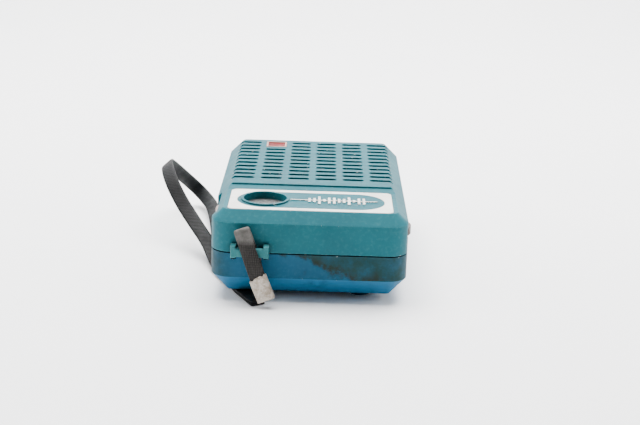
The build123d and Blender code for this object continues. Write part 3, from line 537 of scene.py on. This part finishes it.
def clear_lens():
    """Scratched clear acrylic with a film of dust."""
    paint = Paint("dial_acrylic", rough=0.06, Transmission_Weight=0.92, IOR=1.49)
    dust = paint.patches(500, 7, 0.5, 0.8, rough=0.7)
    colour = paint.mix(dust, rgb(240, 244, 244), rgb(214, 208, 200))
    paint.bump(paint.noise(2200, 6, 0.8, (1, 9, 1)), 0.00001, 0.4)
    return paint.finish(colour, paint.patches(900, 6, 0.45, 0.8, 0.05, 0.4, rough=0.7))


TICK_INNER, TICK_OUTER, TICK_SOFT = 0.0098, 0.0118, 0.0001
TICK_COUNT = 48


def dial_plastic(centre):
    """The tuning wheel: dusty pinkish brown with a printed ring of tick marks."""
    paint = Paint("dial_pink_brown", rough=0.5)
    shifted = paint.node("ShaderNodeMapping")
    shifted.inputs["Location"].default_value = (-centre.x, -centre.y, 0)
    paint.join(paint.place, shifted.inputs["Vector"])
    split = paint.node("ShaderNodeSeparateXYZ")
    paint.join(shifted.outputs["Vector"], split.inputs[0])
    angle = paint.maths("ARCTAN2", split.outputs["Y"], split.outputs["X"])
    # a sine's size peaks twice a turn, so its speed is half the number of marks
    tooth = paint.maths("ABSOLUTE", paint.maths("SINE", paint.times(angle, TICK_COUNT / 2)))
    squares = [paint.maths("POWER", split.outputs[axis], 2) for axis in ("X", "Y")]
    reach = paint.maths("SQRT", paint.maths("ADD", *squares))
    inside = paint.ramp(reach, TICK_INNER, TICK_INNER + TICK_SOFT)
    ring = paint.times(inside, paint.ramp(reach, TICK_OUTER, TICK_OUTER - TICK_SOFT))
    marks = paint.times(ring, paint.ramp(tooth, 0.965, 0.985))
    dust = paint.patches(260, 8, 0.35, 0.7, rough=0.7)
    colour = paint.mix(dust, rgb(158, 140, 134), rgb(118, 100, 94))
    colour = paint.mix(paint.patches(1300, 5, 0.6, 0.7), colour, rgb(186, 178, 172))
    colour = paint.mix(marks, colour, rgb(226, 222, 214))
    paint.bump(paint.noise(800, 5), 0.00004, 0.5, rounding=0.0002)
    return paint.finish(colour, paint.patches(300, 5, 0.3, 0.7, 0.4, 0.62))


def board_face():
    """Brown phenolic board with tinned copper tracks and pads."""
    paint = Paint("board_phenolic", rough=0.45)
    cells = paint.node("ShaderNodeTexVoronoi", Scale=210.0)
    cells.feature = "DISTANCE_TO_EDGE"
    paint.join(paint.place, cells.inputs["Vector"])
    tracks = paint.ramp(cells.outputs["Distance"], 0.14, 0.16)
    base = paint.mix(paint.patches(150, 5, 0.3, 0.7), rgb(122, 78, 38), rgb(98, 62, 30))
    tin = paint.mix(paint.patches(600, 4, 0.4, 0.6), rgb(176, 140, 84), rgb(190, 184, 170))
    on_top = paint.times(tracks, paint.facing("Z", 0.5, 0.8))
    paint.bump(tracks, 0.00005, 0.5)
    return paint.finish(paint.mix(on_top, base, tin), paint.ramp(tracks, 0, 1, 0.5, 0.35))


def wound_wire():
    """Silk-covered wire wound side by side along X."""
    paint = Paint("coil_windings", rough=0.6)
    bands = paint.node("ShaderNodeTexWave", Scale=900.0, Distortion=0.4)
    bands.bands_direction = "X"
    paint.join(paint.place, bands.inputs["Vector"])
    colour = paint.mix(bands.outputs["Fac"], rgb(116, 78, 40), rgb(196, 150, 92))
    paint.bump(bands.outputs["Fac"], 0.0001, 0.8)
    return paint.finish(colour)


dial_low, dial_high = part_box("tuning_wheel")
dial_centre = (dial_low + dial_high) / 2
# one material for each of the record's material slots
finishes = {
    "front_case": case_plastic("case_teal_front", rgb(8, 86, 96), rgb(92, 168, 174), rgb(4, 78, 88),
                               rgb(28, 52, 46)),
    "rear_case": case_plastic("case_teal_rear", rgb(12, 74, 102), rgb(76, 138, 158), rgb(8, 66, 92),
                              rgb(22, 32, 22), stain_and_bounce_light=True),
    "lug": case_plastic("case_teal_lug", rgb(34, 100, 104), rgb(140, 180, 180), rgb(26, 84, 90),
                        rgb(44, 66, 60)),
    "trim_white": solid("trim_off_white", rgb(232, 230, 224), rgb(214, 211, 202), 0.35, rounding=0.0003),
    "badge_red": solid("badge_red_enamel", rgb(112, 0, 2), rgb(88, 0, 2), 0.5, Specular_IOR_Level=0.1),
    "badge_pale": solid("badge_pale_frame", rgb(190, 150, 138), rgb(166, 128, 118), 0.5,
                        Specular_IOR_Level=0.2),
    "bright_trim": brushed("emblem_bright_foil", rgb(226, 226, 222), rgb(190, 186, 178), 0.22),
    "lens": clear_lens(),
    "dial": dial_plastic(dial_centre),
    "volume_brown": solid("volume_dark_brown", rgb(70, 54, 46), rgb(50, 38, 34), 0.42),
    "strap_leather": leatherette("strap_outer_grain", rgb(9, 9, 9), rgb(29, 29, 30), 0.00012),
    "clamp_metal": torn_metal(),
    "screw_steel": brushed("screw_plated_steel", rgb(196, 196, 190), rgb(160, 158, 150), 0.3),
    "shaft_brass": brushed("shaft_turned_brass", rgb(200, 170, 104), rgb(166, 138, 82), 0.3),
    "board_phenolic": board_face(),
    "capacitor_grey": solid("capacitor_cloudy_grey", rgb(196, 200, 190), rgb(170, 176, 168), 0.3),
    "can_metal": brushed("can_drawn_aluminium", rgb(206, 206, 204), rgb(178, 178, 176), 0.32, (1, 1, 9)),
    "core_iron": solid("core_laminations", rgb(72, 70, 70), rgb(52, 50, 50), 0.55, 0.4,
                       fine=2600, depth=0.0001),
    "electrolytic_blue": solid("electrolytic_blue_sleeve", rgb(44, 70, 122), rgb(34, 56, 104), 0.35),
    "ceramic_tan": solid("ceramic_tan_glaze", rgb(186, 134, 78), rgb(164, 114, 64), 0.45),
    "resistor_brown": solid("resistor_lacquer", rgb(140, 86, 56), rgb(116, 68, 44), 0.35),
    "ferrite": solid("ferrite_dark_grey", rgb(52, 52, 55), rgb(40, 40, 43), 0.55, 0.2),
    "coil_wire": wound_wire(),
    "cradle_plastic": solid("cradle_black_plastic", rgb(36, 36, 37), rgb(26, 26, 27), 0.5),
    "speaker_steel": brushed("speaker_zinc_plate", rgb(190, 190, 182), rgb(156, 154, 140), 0.35),
    "magnet_iron": solid("magnet_grey_iron", rgb(92, 92, 94), rgb(70, 70, 72), 0.5, 0.5),
    "cone_paper": solid("cone_black_paper", rgb(44, 40, 37), rgb(32, 29, 27), 0.85, fine=1400, depth=0.0002),
    "felt": solid("felt_grey", rgb(96, 96, 94), rgb(74, 74, 72), 0.95, fine=2200, depth=0.0002),
    "tag_board": solid("tag_board_brown", rgb(140, 96, 52), rgb(118, 80, 44), 0.5),
    "battery_case": solid("battery_painted_sleeve", rgb(52, 58, 68), rgb(40, 45, 54), 0.3),
    "lead_red": solid("lead_red_pvc", rgb(172, 36, 32), rgb(146, 28, 26), 0.4),
    "lead_black": solid("lead_black_pvc", rgb(30, 30, 31), rgb(22, 22, 23), 0.4),
}
for entry in frame["record"]["subparts"]:
    piece = nodes[entry["node"]]
    piece.data.materials.clear()
    piece.data.materials.append(finishes[entry["material_slot"]])
strap_inner = leatherette("strap_inner_smooth", rgb(20, 21, 22), rgb(30, 32, 33), 0.00003)
# painted light: the hanger takes a lighter copy of the strap's grain, standing in for the top light it
# misses because it faces the camera
hanger_lightened_face = leatherette("hanger_painted_lighter_grain", rgb(30, 29, 28), rgb(52, 50, 48), 0.00008)
# a ribbon has two material slots, its outer and its inner face
for piece, faces in (
    (wrist_strap, (finishes["strap_leather"], strap_inner)),
    (hanger, (hanger_lightened_face, hanger_lightened_face)),
    (clamp, (finishes["clamp_metal"],)),
):
    for face in faces:
        piece.data.materials.append(face)


# ---- stage: pale sweep, soft lights ---------------------------------------------------------
STAGE_HALF_WIDTH, STAGE_FRONT, STAGE_TOP = 1.6, -1.6, 2.2
CURVE_FROM, CURVE_RADIUS, CURVE_STEPS = 0.55, 0.35, 12


def sweep_stage():
    """A pale floor that curves up into a backdrop."""
    profile = [(STAGE_FRONT, 0), (CURVE_FROM, 0)]
    for k in range(1, CURVE_STEPS + 1):
        angle = math.pi / 2 * k / CURVE_STEPS
        profile.append((CURVE_FROM + CURVE_RADIUS * math.sin(angle), CURVE_RADIUS * (1 - math.cos(angle))))
    profile.append((CURVE_FROM + CURVE_RADIUS, STAGE_TOP))
    count = len(profile)
    verts = [(x, y, z) for x in (-STAGE_HALF_WIDTH, STAGE_HALF_WIDTH) for y, z in profile]
    faces = [(k, k + 1, count + k + 1, count + k) for k in range(count - 1)]
    return add_mesh("stage_floor", verts, faces)


floor = sweep_stage()
paper = Paint("stage_pale_paper", rough=0.8)
paper_tone = paper.mix(paper.patches(6, 3, 0.3, 0.7), rgb(250, 250, 250), rgb(247, 247, 248))
floor.data.materials.append(paper.finish(paper_tone))


def soft_light(name, at, toward, width, height, power):
    """A rectangular soft light aimed at a point."""
    data = bpy.data.lights.new(name, "AREA")
    data.shape = "RECTANGLE"
    data.size, data.size_y = width, height
    data.energy = power
    light = bpy.data.objects.new(name, data)
    bpy.context.scene.collection.objects.link(light)
    light.location = at
    light.rotation_euler = (Vector(toward) - Vector(at)).to_track_quat("-Z", "Y").to_euler()


soft_light("top_light", (0.0, 0.30, 0.95), (0, 0.05, 0), width=1.1, height=0.9, power=52.0)
soft_light("left_light", (-0.9, -0.1, 0.5), (0, 0, 0.02), width=0.7, height=0.6, power=7.0)
soft_light("right_light", (0.9, 0.1, 0.5), (0, 0, 0.02), width=0.7, height=0.6, power=6.0)
world = bpy.data.worlds.new("soft_room")
world.use_nodes = True
room_light = world.node_tree.nodes["Background"]
room_light.inputs["Color"].default_value = (0.93, 0.95, 1.0, 1.0)
room_light.inputs["Strength"].default_value = 0.27
bpy.context.scene.world = world
